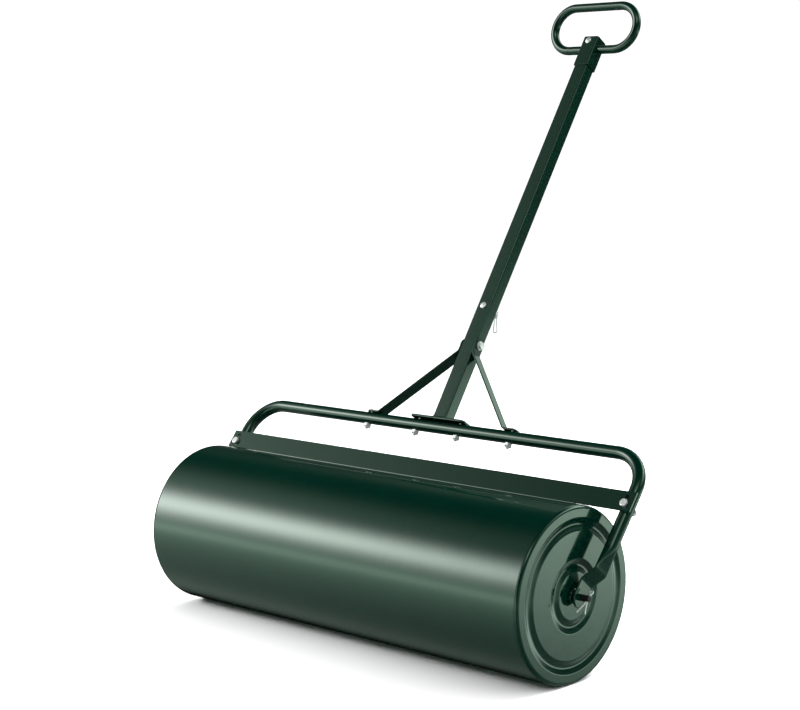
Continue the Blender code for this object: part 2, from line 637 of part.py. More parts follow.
def make_handle(paint, zinc, frame):
    make_post(paint, frame)
    for side, tag in ((1, "right"), (-1, "left")):
        make_brace(f"brace_{tag}", paint, frame, side)
        grip = FOOT_TOP + TUBE_RADIUS + GAP
        fasten(f"brace_foot_{tag}", zinc, frame, (side * BRACE_FOOT_BOLT_X, 0, FOOT_TOP), grip,
               (0, 0, 0), "round")
        grip = BASE_TOP + TUBE_RADIUS + GAP
        fasten(f"base_{tag}", zinc, frame, (side * BASE_BOLT_X, 0, BASE_TOP), grip, (0, 0, 0),
               "round")
    reach = POST_WIDTH / 2 + GAP + BRACE_THICKNESS
    low, high = reach + GAP, reach + GAP + BRACE_WASHER_THICKNESS
    washer = ring_outline(BOLT_RADIUS + GAP, BRACE_WASHER_RADIUS, low, high)
    add_object("brace_top_washer", turned(washer, 20), zinc, frame,
               (0, BRACE_SETBACK, BRACE_BOLT_HEIGHT))
    fasten("brace_top", zinc, frame, (high, BRACE_SETBACK, BRACE_BOLT_HEIGHT), high + reach,
           (0, math.pi / 2, 0), "hex")
    make_socket(paint, zinc, frame)
    loop_frame = frame_empty("loop_frame", (0, POST_SETBACK, LOOP_HEIGHT),
                             LOOP_ANGLE - POST_ANGLE + math.pi / 2, frame)
    path = [(x, 0, z) for x, z in loop_points()]
    add_object("loop_handle", sweep_wire(path, LOOP_TUBE, 14), paint, loop_frame)
    make_hitch_pin(zinc, frame)
    behind = POST_SETBACK + POST_DEPTH / 2 + CLIP_SETBACK
    add_object("r_clip", sweep_wire(clip_path(), CLIP_WIRE, 6), zinc, frame,
               (0, behind, PIN_HEIGHT), (0, -CLIP_TILT, 0))


def main():
    clear_scene()
    paint = material("green_paint", (0.012, 0.060, 0.040), 0.22, 0.0)
    zinc = material("zinc_plate", (0.62, 0.62, 0.60), 0.30, 1.0)
    steel = material("black_steel", (0.012, 0.013, 0.012), 0.45, 0.6)
    rubber = material("black_rubber", (0.015, 0.015, 0.015), 0.70, 0.0)
    plastic = material("black_plastic", (0.02, 0.02, 0.02), 0.45, 0.0)

    add_object("drum_shell", make_shell(), paint, location=AXLE_CENTRE)
    make_end_plate("end_plate_right", paint, 1)
    make_end_plate("end_plate_left", paint, -1)
    make_axle_group(steel, zinc)
    make_filler(paint, rubber, plastic)

    yoke_frame = frame_empty("yoke_frame", AXLE_CENTRE, YOKE_ANGLE)
    make_yoke(paint, yoke_frame)
    make_scraper(paint, yoke_frame)
    grip = 2 * TUBE_RADIUS + BAR_THICKNESS + 2 * GAP
    for side, tag in ((1, "right"), (-1, "left")):
        seat = (side * BAR_BOLT_X, -BAR_FACE - BAR_THICKNESS, BAR_BOLT_Z)
        fasten(f"scraper_{tag}", zinc, yoke_frame, seat, grip, (math.pi / 2, 0, 0), "hex")

    reach = Vector((0, math.cos(YOKE_ANGLE), math.sin(YOKE_ANGLE))) * YOKE_REACH
    handle_frame = frame_empty("handle_frame", AXLE_CENTRE + reach, POST_ANGLE)
    make_handle(paint, zinc, handle_frame)


main()
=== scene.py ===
import json
import math

import bmesh
import bpy
from mathutils import Matrix, Vector

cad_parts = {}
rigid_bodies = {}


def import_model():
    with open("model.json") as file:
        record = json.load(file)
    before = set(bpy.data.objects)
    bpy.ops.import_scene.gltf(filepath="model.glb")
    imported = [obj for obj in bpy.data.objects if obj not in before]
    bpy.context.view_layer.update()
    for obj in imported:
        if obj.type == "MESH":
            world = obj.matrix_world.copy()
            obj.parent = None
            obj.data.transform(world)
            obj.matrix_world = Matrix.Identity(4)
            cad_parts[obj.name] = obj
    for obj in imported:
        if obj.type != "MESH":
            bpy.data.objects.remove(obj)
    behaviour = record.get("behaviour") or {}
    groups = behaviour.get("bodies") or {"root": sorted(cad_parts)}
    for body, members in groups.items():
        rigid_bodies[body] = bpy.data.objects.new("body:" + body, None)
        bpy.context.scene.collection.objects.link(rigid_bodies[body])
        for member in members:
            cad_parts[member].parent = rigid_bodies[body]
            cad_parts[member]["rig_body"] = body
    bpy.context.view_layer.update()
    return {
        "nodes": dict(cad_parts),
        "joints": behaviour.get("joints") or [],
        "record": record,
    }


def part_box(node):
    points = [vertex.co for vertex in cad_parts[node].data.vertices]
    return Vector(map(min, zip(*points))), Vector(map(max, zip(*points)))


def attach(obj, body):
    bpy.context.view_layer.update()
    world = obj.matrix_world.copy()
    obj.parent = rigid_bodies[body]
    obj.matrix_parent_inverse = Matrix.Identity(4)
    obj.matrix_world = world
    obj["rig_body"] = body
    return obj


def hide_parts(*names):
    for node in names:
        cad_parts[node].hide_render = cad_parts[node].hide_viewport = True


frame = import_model()

# ---- the frame's own places ----------------------------------------------------------------
joints = {joint["name"]: joint for joint in frame["joints"]}
X_AXIS = Vector((1, 0, 0))
AXLE = Vector(joints["drum_roll"]["pos_m"])
YOKE_UP = Vector(joints["scraper_adjust"]["axis"]).normalized()
POST_FRONT = Vector(joints["hitch_pin_slide"]["axis"]).normalized()
POST_UP = POST_FRONT.cross(X_AXIS).normalized()
PIN_PLACE = Vector(joints["hitch_pin_slide"]["pos_m"])
CLIP_PLACE = Vector(joints["r_clip_slide"]["pos_m"])
CLIP_DOWN = Vector(joints["r_clip_slide"]["axis"]).normalized()
LOOP_PLACE = Vector(joints["loop_swivel"]["pos_m"])
PLUG_PLACE = Vector(joints["filler_plug_out"]["pos_m"])

# ---- sizes that the CAD model has too ------------------------------------------------------
GAP = 0.0003
DRUM_RADIUS = AXLE.z
HALF_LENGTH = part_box("end_plate_right")[1].x
YOKE_REACH = 0.2774
YOKE_WIDTH = 0.969
YOKE_BEND = 0.067
TUBE_RADIUS = 0.0118
TAB_HALF_WIDTH = 0.0185
TAB_HALF_THICKNESS = 0.002
TAB_STANDOFF = 0.0125
TAB_TOP = 0.027
JOGGLE_TOP = 0.051
CRUSH_TOP = 0.100
POST_WIDTH = 0.0315
POST_DEPTH = 0.0270
POST_SETBACK = 0.0034
POST_WALL = 0.002
POST_CORNER = 0.0030
PIN_HEIGHT = 0.2600
PIN_RADIUS = 0.0039
PIN_TAIL = 0.0210
SEAM_HEIGHT = 0.1912
POLE_TOP = 0.8555
BAR_THICKNESS = 0.003
BAR_BOTTOM = 0.1625
BAR_TOP = 0.2000
BAR_BOLT_X = 0.4846
BAR_BOLT_Z = 0.1760
SLOT_BELOW = 0.0080
SLOT_ABOVE = 0.0170
LIP_LEFT = -0.407
LIP_RIGHT = 0.383
LIP_BEND = 0.0045
BASE_LENGTH = 0.134
BASE_WIDTH = 0.033
BASE_THICKNESS = 0.004
BASE_BOLT_X = 0.0514
BRACE_WIDTH = 0.0240
BRACE_SETBACK = 0.0020
BRACE_THICKNESS = 0.003
BRACE_TOP = 0.1895
BRACE_BEND_HEIGHT = 0.1605
BRACE_BOLT_HEIGHT = 0.179
BRACE_FOOT_START = 0.1560
BRACE_FOOT_END = 0.1880
BRACE_FOOT_BOLT_X = 0.1770
SOCKET_WALL = 0.002
SOCKET_BOTTOM = 0.8205
SOCKET_TOP = 0.8892
SOCKET_BOLT_X = -0.003
SOCKET_BOLT_Z = 0.8788
LOOP_HEIGHT = 0.8655
LOOP_ANGLE = math.radians(74.3)
LOOP_HALF_LENGTH = 0.1018
LOOP_HALF_WIDTH = 0.0458
LOOP_TUBE = 0.0087
BOLT_RADIUS = 0.0037
BOLT_HOLE = 0.0042
HEX_RADIUS = 0.0075
HEX_HEIGHT = 0.005
ROUND_HEAD_RADIUS = 0.0070
ROUND_HEAD_HEIGHT = 0.0030
NUT_HEIGHT = 0.0065
THREAD_TAIL = 0.0040
THREAD_PITCH = 0.00125
BRACE_WASHER_THICKNESS = 0.0015
BAR_FACE = TUBE_RADIUS + GAP
BASE_BOTTOM = TUBE_RADIUS + GAP
BASE_TOP = BASE_BOTTOM + BASE_THICKNESS
FOOT_TOP = TUBE_RADIUS + GAP + BRACE_THICKNESS


def place(origin, up):
    """A frame whose Z is up, whose X is the axle's direction and whose Y points to the back."""
    back = up.cross(X_AXIS).normalized()
    turn = Matrix((X_AXIS, back, up)).transposed().to_4x4()
    return Matrix.Translation(origin) @ turn


YOKE = place(AXLE, YOKE_UP)
HANDLE = place(PIN_PLACE - POST_UP * PIN_HEIGHT + POST_FRONT * POST_SETBACK, POST_UP)
LOOP_UP = Vector((0, math.cos(LOOP_ANGLE), math.sin(LOOP_ANGLE)))
LOOP = place(LOOP_PLACE, LOOP_UP)
DRUM = Matrix.Translation(AXLE)


# ---- materials -----------------------------------------------------------------------------
class Nodes:
    """A few words for wiring a material's nodes."""

    def __init__(self, name):
        self.mat = bpy.data.materials.new(name)
        self.mat.use_nodes = True
        self.tree = self.mat.node_tree
        self.shader = self.tree.nodes["Principled BSDF"]
        self.coords = self.tree.nodes.new("ShaderNodeTexCoord").outputs["Object"]

    def set(self, **values):
        for key, value in values.items():
            self.shader.inputs[key.replace("_", " ")].default_value = value

    def link(self, output, socket):
        self.tree.links.new(output, socket)

    def noise(self, scale, detail=4.0, rough=0.55, stretch=None):
        node = self.tree.nodes.new("ShaderNodeTexNoise")
        node.inputs["Scale"].default_value = scale
        node.inputs["Detail"].default_value = detail
        node.inputs["Roughness"].default_value = rough
        source = self.coords
        if stretch:
            mapping = self.tree.nodes.new("ShaderNodeMapping")
            mapping.inputs["Scale"].default_value = stretch
            self.link(source, mapping.inputs["Vector"])
            source = mapping.outputs["Vector"]
        self.link(source, node.inputs["Vector"])
        return node.outputs["Fac"]

    def ramp(self, value, stops):
        node = self.tree.nodes.new("ShaderNodeValToRGB")
        while len(node.color_ramp.elements) < len(stops):
            node.color_ramp.elements.new(0.5)
        for element, (at, colour) in zip(node.color_ramp.elements, stops):
            element.position = at
            element.color = (*colour, 1) if isinstance(colour, tuple) else (colour,) * 3 + (1,)
        self.link(value, node.inputs["Fac"])
        return node.outputs["Color"]

    def spread(self, value, low, high, to_low, to_high):
        node = self.tree.nodes.new("ShaderNodeMapRange")
        for key, number in zip(("From Min", "From Max", "To Min", "To Max"),
                               (low, high, to_low, to_high)):
            node.inputs[key].default_value = number
        self.link(value, node.inputs["Value"])
        return node.outputs["Result"]

    def bump(self, heights):
        """Stack bumps: each is (height output, strength, distance)."""
        before = None
        for height, strength, distance in heights:
            node = self.tree.nodes.new("ShaderNodeBump")
            node.inputs["Strength"].default_value = strength
            node.inputs["Distance"].default_value = distance
            self.link(height, node.inputs["Height"])
            if before:
                self.link(before, node.inputs["Normal"])
            before = node.outputs["Normal"]
        self.link(before, self.shader.inputs["Normal"])
        return before

    def edge(self, radius):
        """How much a point lies on an edge: 0 on flat parts, towards 1 on corners."""
        bevel = self.tree.nodes.new("ShaderNodeBevel")
        bevel.inputs["Radius"].default_value = radius
        geometry = self.tree.nodes.new("ShaderNodeNewGeometry")
        product = self.tree.nodes.new("ShaderNodeVectorMath")
        product.operation = "DOT_PRODUCT"
        self.link(bevel.outputs["Normal"], product.inputs[0])
        self.link(geometry.outputs["Normal"], product.inputs[1])
        return self.spread(product.outputs["Value"], 1.0, 0.86, 0.0, 1.0)


def green_paint():
    """Thick gloss enamel over sprayed steel: deep green, slight orange peel, fine dust."""
    m = Nodes("green_paint")
    tone = m.ramp(m.noise(9.0, 3.0),
                  ((0.30, (0.0002, 0.0088, 0.0052)), (0.70, (0.0004, 0.0100, 0.0060))))
    m.link(tone, m.shader.inputs["Base Color"])
    m.link(m.spread(m.noise(900.0, 2.0), 0.62, 0.80, 0.10, 0.15), m.shader.inputs["Roughness"])
    m.set(Metallic=0.0, IOR=1.50, Specular_IOR_Level=0.27, Specular_Tint=(0.62, 1.0, 0.72, 1.0))
    m.set(Coat_Weight=0.55, Coat_Roughness=0.08, Coat_IOR=1.50)
    peel = m.noise(260.0, 2.0, 0.4)
    sag = m.noise(22.0, 2.0, 0.5)
    normal = m.bump(((sag, 0.10, 0.0012), (peel, 0.10, 0.00012)))
    m.link(normal, m.shader.inputs["Coat Normal"])
    return m.mat


def zinc_plate():
    """Bright zinc plate: pale blue-grey, with a fine drawn grain and small spangles."""
    m = Nodes("zinc_plate")
    tone = m.ramp(m.noise(420.0, 5.0), ((0.25, (0.52, 0.54, 0.54)), (0.75, (0.78, 0.79, 0.78))))
    m.link(tone, m.shader.inputs["Base Color"])
    m.link(m.spread(m.noise(700.0, 3.0), 0.3, 0.7, 0.26, 0.42), m.shader.inputs["Roughness"])
    m.set(Metallic=0.78, Anisotropic=0.3)
    m.bump(((m.noise(1500.0, 3.0), 0.25, 0.00006),))
    return m.mat


def black_steel():
    """Black oxide on a drawn bar, with bare steel along its edges."""
    m = Nodes("black_steel")
    bare = m.edge(0.0006)
    mix = m.ramp(bare, ((0.55, (0.010, 0.011, 0.010)), (1.0, (0.16, 0.16, 0.155))))
    m.link(mix, m.shader.inputs["Base Color"])
    m.link(m.spread(m.noise(300.0, 4.0, stretch=(0.05, 1, 1)), 0.3, 0.7, 0.30, 0.50),
           m.shader.inputs["Roughness"])
    m.set(Metallic=0.6)
    m.bump(((m.noise(500.0, 3.0, stretch=(0.05, 1, 1)), 0.2, 0.00008),))
    return m.mat


def moulded(name, colour, rough, grain):
    """Moulded plastic or rubber with a fine matt grain."""
    m = Nodes(name)
    light = tuple(c * 1.5 for c in colour)
    m.link(m.ramp(m.noise(60.0, 4.0), ((0.3, colour), (0.7, light))), m.shader.inputs["Base Color"])
    m.link(m.spread(m.noise(grain, 2.0), 0.3, 0.7, rough - 0.08, rough + 0.08),
           m.shader.inputs["Roughness"])
    m.bump(((m.noise(grain, 2.0), 0.35, 0.0001),))
    return m.mat


def floor_white():
    m = Nodes("floor_white")
    m.link(m.ramp(m.noise(3.0, 2.0), ((0.3, 0.90), (0.7, 0.92))), m.shader.inputs["Base Color"])
    m.set(Roughness=0.9)
    return m.mat


PAINT = green_paint()
ZINC = zinc_plate()
STEEL = black_steel()
RUBBER = moulded("black_rubber", (0.012, 0.012, 0.012), 0.75, 900.0)
PLASTIC = moulded("black_plastic", (0.018, 0.018, 0.018), 0.45, 1500.0)
SLOTS = {"green_paint": PAINT, "zinc_plate": ZINC, "black_steel": STEEL,
         "black_rubber": RUBBER, "black_plastic": PLASTIC}


# ---- mesh tools ----------------------------------------------------------------------------
def skin(rings, closed=False):
    """Skin rings of equal counts.  A one-point ring closes to a tip; open ends are capped."""
    bm = bmesh.new()
    rows = [[bm.verts.new(point) for point in ring] for ring in rings]
    pairs = list(zip(rows, rows[1:]))
    if closed:
        pairs.append((rows[-1], rows[0]))
    for low, high in pairs:
        count = max(len(low), len(high))
        for i in range(count):
            j = (i + 1) % count
            corners = [low[i % len(low)], low[j % len(low)], high[j % len(high)], high[i % len(high)]]
            face = list(dict.fromkeys(corners))
            if len(face) > 2:
                bm.faces.new(face)
    if not closed:
        for end in (rows[0], rows[-1]):
            if len(end) > 2:
                bm.faces.new(end)
    return bm


def lathe(profile, sides, closed=False):
    """Turn (x, radius) points about local X."""
    rings = []
    for x, r in profile:
        angles = [2 * math.pi * i / sides for i in range(sides)]
        ring = [(x, r * math.cos(a), r * math.sin(a)) for a in angles]
        rings.append(ring if r > 1e-7 else [(x, 0, 0)])
    return skin(rings, closed)


def arc(cx, cy, radius, start, end, steps):
    angles = [math.radians(start + (end - start) * i / steps) for i in range(steps + 1)]
    return [(cx + radius * math.cos(a), cy + radius * math.sin(a)) for a in angles]


def smooth_turn(t, angle):
    """How far along the chord a point lies that is t of the way round an arc."""
    half = angle / 2
    return 0.5 + math.tan((2 * t - 1) * half) / math.tan(half) / 2


def rounded_path(points, radii, steps=8):
    """A flat path with its corners rounded, each by its own radius."""
    points = [Vector(p) for p in points]
    path = [points[0]]
    for before, here, after, radius in zip(points, points[1:], points[2:], radii):
        inward, outward = (before - here).normalized(), (after - here).normalized()
        half = inward.angle(outward) / 2
        reach = radius / math.tan(half)
        centre = here + (inward + outward).normalized() * (radius / math.sin(half))
        start, end = here + inward * reach - centre, here + outward * reach - centre
        for i in range(steps + 1):
            spoke = start.lerp(end, smooth_turn(i / steps, start.angle(end)))
            path.append(centre + spoke.normalized() * radius)
    path.append(points[-1])
    return path


def along(path, extra=()):
    """Points on a path at its own corners and at extra distances: (point, distance)."""
    marks = [0.0]
    for a, b in zip(path, path[1:]):
        marks.append(marks[-1] + (b - a).length)
    wanted = sorted(set(marks) | {d for d in extra if 0 < d < marks[-1]})
    out = []
    k = 0
    for d in wanted:
        while k + 2 < len(marks) and marks[k + 1] < d:
            k += 1
        t = (d - marks[k]) / max(marks[k + 1] - marks[k], 1e-9)
        out.append((path[k].lerp(path[k + 1], min(max(t, 0), 1)), d))
    return out, marks[-1]


def mitre(points, i):
    """Tangent at a path's point, and how much a bend stretches its section."""
    before = (points[i] - points[i - 1]).normalized() if i else None
    after = (points[i + 1] - points[i]).normalized() if i + 1 < len(points) else None
    first, second = before or after, after or before
    tangent = (first + second).normalized()
    return tangent, 1 / max(tangent.dot(first), 0.7)


def wire(points, radius, sides=16, closed=False, round_ends=True):
    """A round wire or tube along a path in space, with softly rounded ends."""
    path = [Vector(p) for p in points]
    side = None
    rings = []
    count = len(path)
    for i, here in enumerate(path):
        before = path[i - 1] if i or closed else path[0]
        after = path[(i + 1) % count] if i + 1 < count or closed else path[-1]
        tangent = (after - before).normalized()
        if side is None:
            side = tangent.orthogonal().normalized()
        side = (side - tangent * side.dot(tangent)).normalized()
        up = tangent.cross(side)
        angles = [2 * math.pi * k / sides for k in range(sides)]
        spokes = [side * math.cos(a) + up * math.sin(a) for a in angles]
        if not closed and round_ends and i in (0, count - 1):
            out = -tangent if i == 0 else tangent
            caps = [[here + out * (radius * 0.35 * rise) + s * (radius * wide) for s in spokes]
                    for rise, wide in ((0.0, 1.0), (0.6, 0.86), (1.0, 0.55))]
            rings += caps[::-1] if i == 0 else caps
        else:
            rings.append([here + s * radius for s in spokes])
    return skin(rings, closed)


def rounded_rectangle(half_x, half_y, corner, steps=6):
    points = []
    for quarter, (sx, sy) in enumerate(((1, 1), (-1, 1), (-1, -1), (1, -1))):
        for i in range(steps + 1):
            a = math.pi / 2 * (quarter + i / steps)
            points.append((sx * (half_x - corner) + corner * math.cos(a),
                           sy * (half_y - corner) + corner * math.sin(a)))
    return points


def at_height(outline, z):
    return [(x, y, z) for x, y in outline]


def box_tube(half_x, half_y, wall, corner, low, high, ease=0.0004):
    """Rectangular tube along Z, its cut ends slightly broken."""
    inner = max(corner - wall, 0.0006)
    rings = []
    for z, back in ((low, ease), (low + ease, 0), (high - ease, 0), (high, ease)):
        rings.append(at_height(rounded_rectangle(half_x - back, half_y - back, corner), z))
    for z, back in ((high, ease), (high - ease, 0), (low + ease, 0), (low, ease)):
        rings.append(at_height(rounded_rectangle(half_x - wall + back, half_y - wall + back,
                                                 inner + back), z))
    return skin(rings, closed=True)


def slab(outline_at, low, high, ease=0.0006):
    """Extrude outline_at(inset) along Z, with its edges eased."""
    rings = [at_height(outline_at(inset), z)
             for z, inset in ((low, ease), (low + ease * 0.3, ease * 0.3), (low + ease, 0),
                              (high - ease, 0), (high - ease * 0.3, ease * 0.3), (high, ease))]
    return skin(rings)


PIECES = []


def piece(name, bm, matrix, body, slot, replaced=(), angle=35.0, extra=None):
    """Make an object from a mesh in the frame given, ride it on a body and shade it smooth."""
    bmesh.ops.transform(bm, matrix=matrix @ extra if extra else matrix, verts=bm.verts)
    bmesh.ops.recalc_face_normals(bm, faces=bm.faces)
    mesh = bpy.data.meshes.new(name)
    bm.to_mesh(mesh)
    bm.free()
    mesh.materials.append(SLOTS[slot])
    mesh.shade_smooth()
    mesh.set_sharp_from_angle(angle=math.radians(angle))
    obj = bpy.data.objects.new(name, mesh)
    bpy.context.scene.collection.objects.link(obj)
    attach(obj, body)
    if replaced:
        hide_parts(*replaced)
    PIECES.append(obj)
    return obj


def keep_faces_flat():
    """Give big faces their own normals, so that only the rounded edges between them bend light."""
    for obj in PIECES:
        mod = obj.modifiers.new("face_normals", "WEIGHTED_NORMAL")
        mod.mode = "FACE_AREA"
        mod.keep_sharp = True


def carve(target, cutters, matrix):
    """Cut closed shapes out of a piece and keep the result as its mesh."""
    for bm in cutters:
        bmesh.ops.transform(bm, matrix=matrix, verts=bm.verts)
        bmesh.ops.recalc_face_normals(bm, faces=bm.faces)
        mesh = bpy.data.meshes.new("cutter")
        bm.to_mesh(mesh)
        bm.free()
        mesh.materials.append(target.data.materials[0])
        tool = bpy.data.objects.new("cutter", mesh)
        bpy.context.scene.collection.objects.link(tool)
        mod = target.modifiers.new("carve", "BOOLEAN")
        mod.operation = "DIFFERENCE"
        mod.solver = "EXACT"
        mod.object = tool
        graph = bpy.context.evaluated_depsgraph_get()
        result = bpy.data.meshes.new_from_object(target.evaluated_get(graph))
        target.modifiers.clear()
        target.data = result
        bpy.data.objects.remove(tool)
    target.data.shade_smooth()
    target.data.set_sharp_from_angle(angle=math.radians(35))


def circle(radius, z, sides=72):
    angles = [2 * math.pi * i / sides for i in range(sides)]
    return [(radius * math.cos(a), radius * math.sin(a), z) for a in angles]


def drill(radius, reach, sides=48):
    """A round cutter along X, reaching as far both ways."""
    bm = skin([circle(radius, z, sides) for z in (-reach, reach)])
    bmesh.ops.transform(bm, matrix=turned("Y", 90), verts=bm.verts)
    return bm


def turned(axis, degrees):
    return Matrix.Rotation(math.radians(degrees), 4, axis)


def shift(x, y, z):
    return Matrix.Translation((x, y, z))


# ---- fasteners -----------------------------------------------------------------------------
def hex_rings(radius, low, high, sides=72):
    """A hexagon prism along Z, its corners turned off at both ends by a 28 degree cone."""
    flat = radius * math.cos(math.pi / 6)
    slope = math.tan(math.radians(28))
    outline = []
    for i in range(sides):
        a = 2 * math.pi * i / sides
        off = (a + math.pi / 6) % (math.pi / 3) - math.pi / 6
        outline.append((a, min(flat / math.cos(abs(abs(off) - math.pi / 6)), radius * 0.992)))
    crown = flat * 0.97

    def edge(z, sign):
        return [(r * math.cos(a), r * math.sin(a), z - sign * (max(r - crown, 0) * slope))
                for a, r in outline]

    def inner(z):
        return [(crown * math.cos(a), crown * math.sin(a), z) for a, _ in outline]

    return [inner(low), edge(low, -1), edge(high, 1), inner(high)]


def thread_rings(radius, low, high):
    """Rings of a screw thread from low up to high."""
    rings = []
    turns = max(int(round((high - low) / THREAD_PITCH)), 1)
    pitch = (high - low) / turns
    for k in range(turns):
        z = low + k * pitch
        rings += [circle(radius * 0.86, z), circle(radius * 0.86, z + pitch * 0.12),
                  circle(radius, z + pitch * 0.45), circle(radius, z + pitch * 0.58)]
    return rings + [circle(radius * 0.86, high)]


def bolt_mesh(length, head):
    """Head above z = 0 and shank below it, threaded over its last stretch."""
    threaded = THREAD_TAIL + NUT_HEIGHT * 0.4
    rings = [circle(BOLT_RADIUS * 0.72, -length), circle(BOLT_RADIUS * 0.80, -length + 0.0006)]
    rings += thread_rings(BOLT_RADIUS, -length + 0.0007, -length + threaded)
    rings += [circle(BOLT_RADIUS, -length + threaded + 0.0004), circle(BOLT_RADIUS, 0)]
    if head == "hex":
        washer_face = HEX_RADIUS * 0.84
        rings += [circle(washer_face, 0), circle(washer_face, 0.0004)]
        rings += hex_rings(HEX_RADIUS, 0.0004, HEX_HEIGHT)
        rings += [circle(HEX_RADIUS * 0.52, HEX_HEIGHT)]
        rings += [circle(HEX_RADIUS * 0.46, HEX_HEIGHT - 0.0003)]
    else:
        rings.append(circle(ROUND_HEAD_RADIUS, 0))
        rings.append(circle(ROUND_HEAD_RADIUS, ROUND_HEAD_HEIGHT * 0.2))
        for i in range(1, 8):
            a = math.pi / 2 * i / 8
            rings.append(circle(ROUND_HEAD_RADIUS * math.cos(a),
                                ROUND_HEAD_HEIGHT * (0.2 + 0.8 * math.sin(a))))
    return skin(rings)


def nut_mesh():
    bore = BOLT_RADIUS + GAP
    rings = [circle(bore, 0.0006), circle(bore + 0.0005, 0.0)]
    rings += hex_rings(HEX_RADIUS, 0, NUT_HEIGHT)
    rings += [circle(bore + 0.0005, NUT_HEIGHT), circle(bore, NUT_HEIGHT - 0.0006)]
    return skin(rings, closed=True)


def fasten(tag, matrix, seat, grip, turn, head):
    """A bolt with its head seated at a point, and its nut, which stand for the CAD ones."""
    body = frame["nodes"][f"{tag}_bolt"]["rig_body"]
    here = matrix @ shift(*seat) @ turn
    length = grip + NUT_HEIGHT + THREAD_TAIL
    piece(f"{tag}_bolt_fine", bolt_mesh(length, head), here, body, "zinc_plate",
          (f"{tag}_bolt",), 30, shift(0, 0, GAP))
    piece(f"{tag}_nut_fine", nut_mesh(), here, body, "zinc_plate", (f"{tag}_nut",), 30,
          shift(0, 0, -(grip + GAP + NUT_HEIGHT)))


# ---- drum ----------------------------------------------------------------------------------
SHELL_END = 0.006             # rolled edge between the shell and the end plates
GROOVE_DEPTH = 0.003
GROOVE_SPANS = ((0.27, 0.42), (0.72, 0.87))
HUB_RADIUS = 0.010
HUB_STANDOUT = 0.006
PLATE_SHEET = 0.002
BOSS_HOLE = 0.0198            # filler boss's hole in the left plate
SHELL_WALL = 0.0013
PLATE_EASE = 0.0012           # flat ring kept beside each bend of an end plate
DRUM_SIDES = 224


def plate_profile():
    """Right end plate's face from hub to rim, then round its rolled edge and back inside."""
    radii = [HUB_RADIUS + 0.0004, 0.018]
    for low, high in GROOVE_SPANS:
        radii += [DRUM_RADIUS * low - PLATE_EASE]
        radii += [DRUM_RADIUS * (low + (high - low) * i / 22) for i in range(23)]
        radii += [DRUM_RADIUS * high + PLATE_EASE]
    radii += [DRUM_RADIUS - SHELL_END - PLATE_EASE]
    face = []
    for r in radii:
        sink = 0.0
        for low, high in GROOVE_SPANS:
            part = (r / DRUM_RADIUS - low) / (high - low)
            if 0 < part < 1:
                sink = GROOVE_DEPTH * math.sin(math.pi * part) ** 1.3
        face.append((HALF_LENGTH - sink, r))
    edge = arc(HALF_LENGTH - SHELL_END, DRUM_RADIUS - SHELL_END, SHELL_END, 0, 84, 14)
    lap = DRUM_RADIUS - 0.0018
    inside = [(HALF_LENGTH - SHELL_END - 0.0004, DRUM_RADIUS - 0.0008),
              (HALF_LENGTH - SHELL_END - 0.0006, lap),
              (HALF_LENGTH - SHELL_END - 0.012, lap),
              (HALF_LENGTH - SHELL_END - 0.012, lap - PLATE_SHEET),
              (HALF_LENGTH - SHELL_END, lap - PLATE_SHEET)]
    back = [(x - PLATE_SHEET, r) for x, r in reversed(face)]
    return face + edge + inside + back


def make_drum():
    end = HALF_LENGTH - SHELL_END
    lip = 0.0006
    shell = [(-end + 0.0002, DRUM_RADIUS - lip), (-end + 0.0008, DRUM_RADIUS)]
    shell += [(-end + 0.0008 + (2 * end - 0.0016) * i / 24, DRUM_RADIUS) for i in range(1, 25)]
    shell += [(end - 0.0002, DRUM_RADIUS - lip)]
    inner = DRUM_RADIUS - SHELL_WALL
    shell += [(end - 0.0002, inner), (-end + 0.0002, inner)]
    piece("drum_skin", lathe(shell, DRUM_SIDES, closed=True), DRUM, "drum", "green_paint",
          ("drum_shell",), 40)
    piece("end_plate_right_fine", lathe(plate_profile(), DRUM_SIDES, closed=True), DRUM, "drum",
          "green_paint", ("end_plate_right",), 50)
    left = [(-x, r) for x, r in plate_profile()]
    plate = piece("end_plate_left_fine", lathe(left, DRUM_SIDES, closed=True), DRUM, "drum",
                  "green_paint", ("end_plate_left",), 50)
    hole = drill(BOSS_HOLE, 0.02)
    carve(plate, [hole], Matrix.Translation(PLUG_PLACE))
    hub = [(HALF_LENGTH - 0.030, 0.0065), (HALF_LENGTH - 0.030, HUB_RADIUS),
           (HALF_LENGTH - 0.0005, HUB_RADIUS), (HALF_LENGTH + HUB_STANDOUT - 0.0008, HUB_RADIUS),
           (HALF_LENGTH + HUB_STANDOUT, HUB_RADIUS - 0.0008), (HALF_LENGTH + HUB_STANDOUT, 0.0065)]
    weld = [(HALF_LENGTH - 0.0005, HUB_RADIUS), (HALF_LENGTH - 0.0005, HUB_RADIUS + 0.0034)]
    weld += arc(HALF_LENGTH + 0.0004, HUB_RADIUS + 0.0006, 0.0026, 75, 10, 6)
    for side, tag in ((1, "right"), (-1, "left")):
        piece(f"hub_{tag}", lathe([(side * x, r) for x, r in hub], 64, closed=True), DRUM, "drum",
              "green_paint", ("axle_tube",) if side > 0 else (), 35)
        bm = lathe([(side * x, r) for x, r in weld], 96, closed=True)
        for v in bm.verts:
            a = math.atan2(v.co.z, v.co.y)
            outside = math.hypot(v.co.y, v.co.z) > HUB_RADIUS + 0.0004
            v.co.x += side * 0.00025 * math.sin(a * 24) * outside
        piece(f"hub_weld_{tag}", bm, DRUM, "drum", "green_paint")


